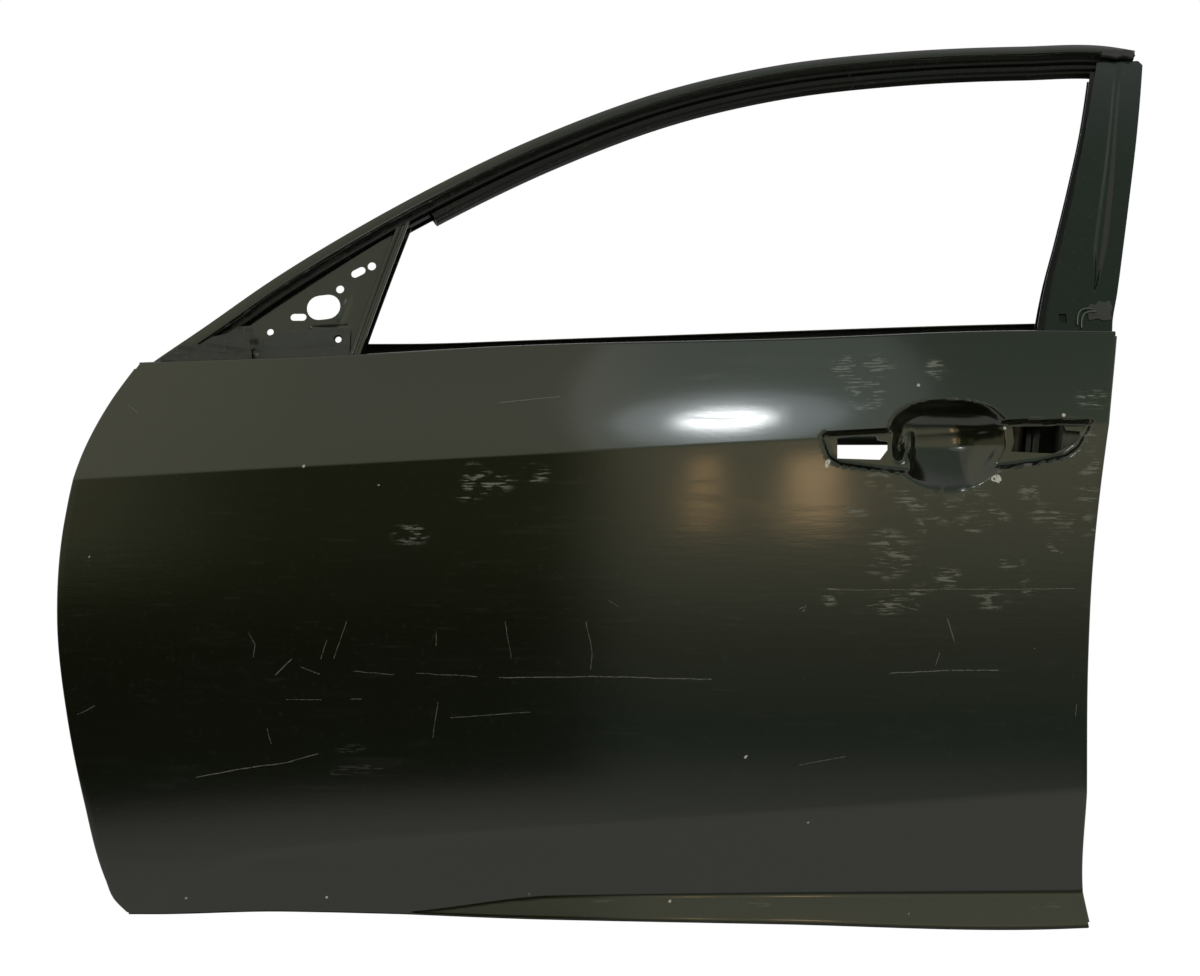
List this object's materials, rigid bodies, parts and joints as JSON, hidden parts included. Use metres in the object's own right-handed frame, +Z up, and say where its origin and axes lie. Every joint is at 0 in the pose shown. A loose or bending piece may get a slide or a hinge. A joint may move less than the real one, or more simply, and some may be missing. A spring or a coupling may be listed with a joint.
{
  "type": "car door shell",
  "caption": "Bare steel front door shell: hemmed outer skin with a recessed handle bowl, deep inner panel, window frame and rear pillar plate.",
  "frame": {"origin": "centre of the lower hinge pad's outer face, on the front wall of the inner panel", "axes": "+X rearwards along the door, +Y inboard (the painted outside faces -Y), +Z up"},
  "size_m": [1.2592, 0.2787, 1.0378],
  "materials": {
    "body_paint": "very dark olive green metallic, glossy, scratched",
    "inner_paint": "very dark olive green, semi-gloss",
    "frame_paint": "very dark green, semi-gloss",
    "pillar_paint": "very dark green, semi-gloss",
    "primer": "dip coat, satin",
    "plain_steel": "plain",
    "mastic": "matt",
    "cloth_tape": "torn, dusty",
    "black_trim": "broken, rough"
  },
  "bodies": {
    "root": {"outer_skin": "body_paint", "inner_panel": "inner_paint", "upper_sash": "frame_paint", "rear_sash": "frame_paint", "division_channel": "frame_paint", "pillar_plate": "pillar_paint", "mirror_bracket": "frame_paint", "triangle_base_plate": "primer", "front_gusset": "frame_paint", "rear_gusset": "frame_paint", "outer_belt_rail": "primer", "inner_belt_rail": "primer", "impact_beam": "primer", "beam_bracket_front": "primer", "beam_bracket_rear": "primer", "outer_strap": "primer", "handle_brace": "primer", "hinge_plate_lower": "primer", "hinge_plate_upper": "primer", "check_plate": "primer", "latch_plate": "primer", "hinge_nut_lower_1": "plain_steel", "hinge_nut_lower_2": "plain_steel", "hinge_nut_upper_1": "plain_steel", "hinge_nut_upper_2": "plain_steel", "mastic_pad_1": "mastic", "mastic_pad_2": "mastic", "mastic_pad_3": "mastic", "pillar_tape": "cloth_tape", "trim_remnant": "black_trim"}
  },
  "joints": []
}
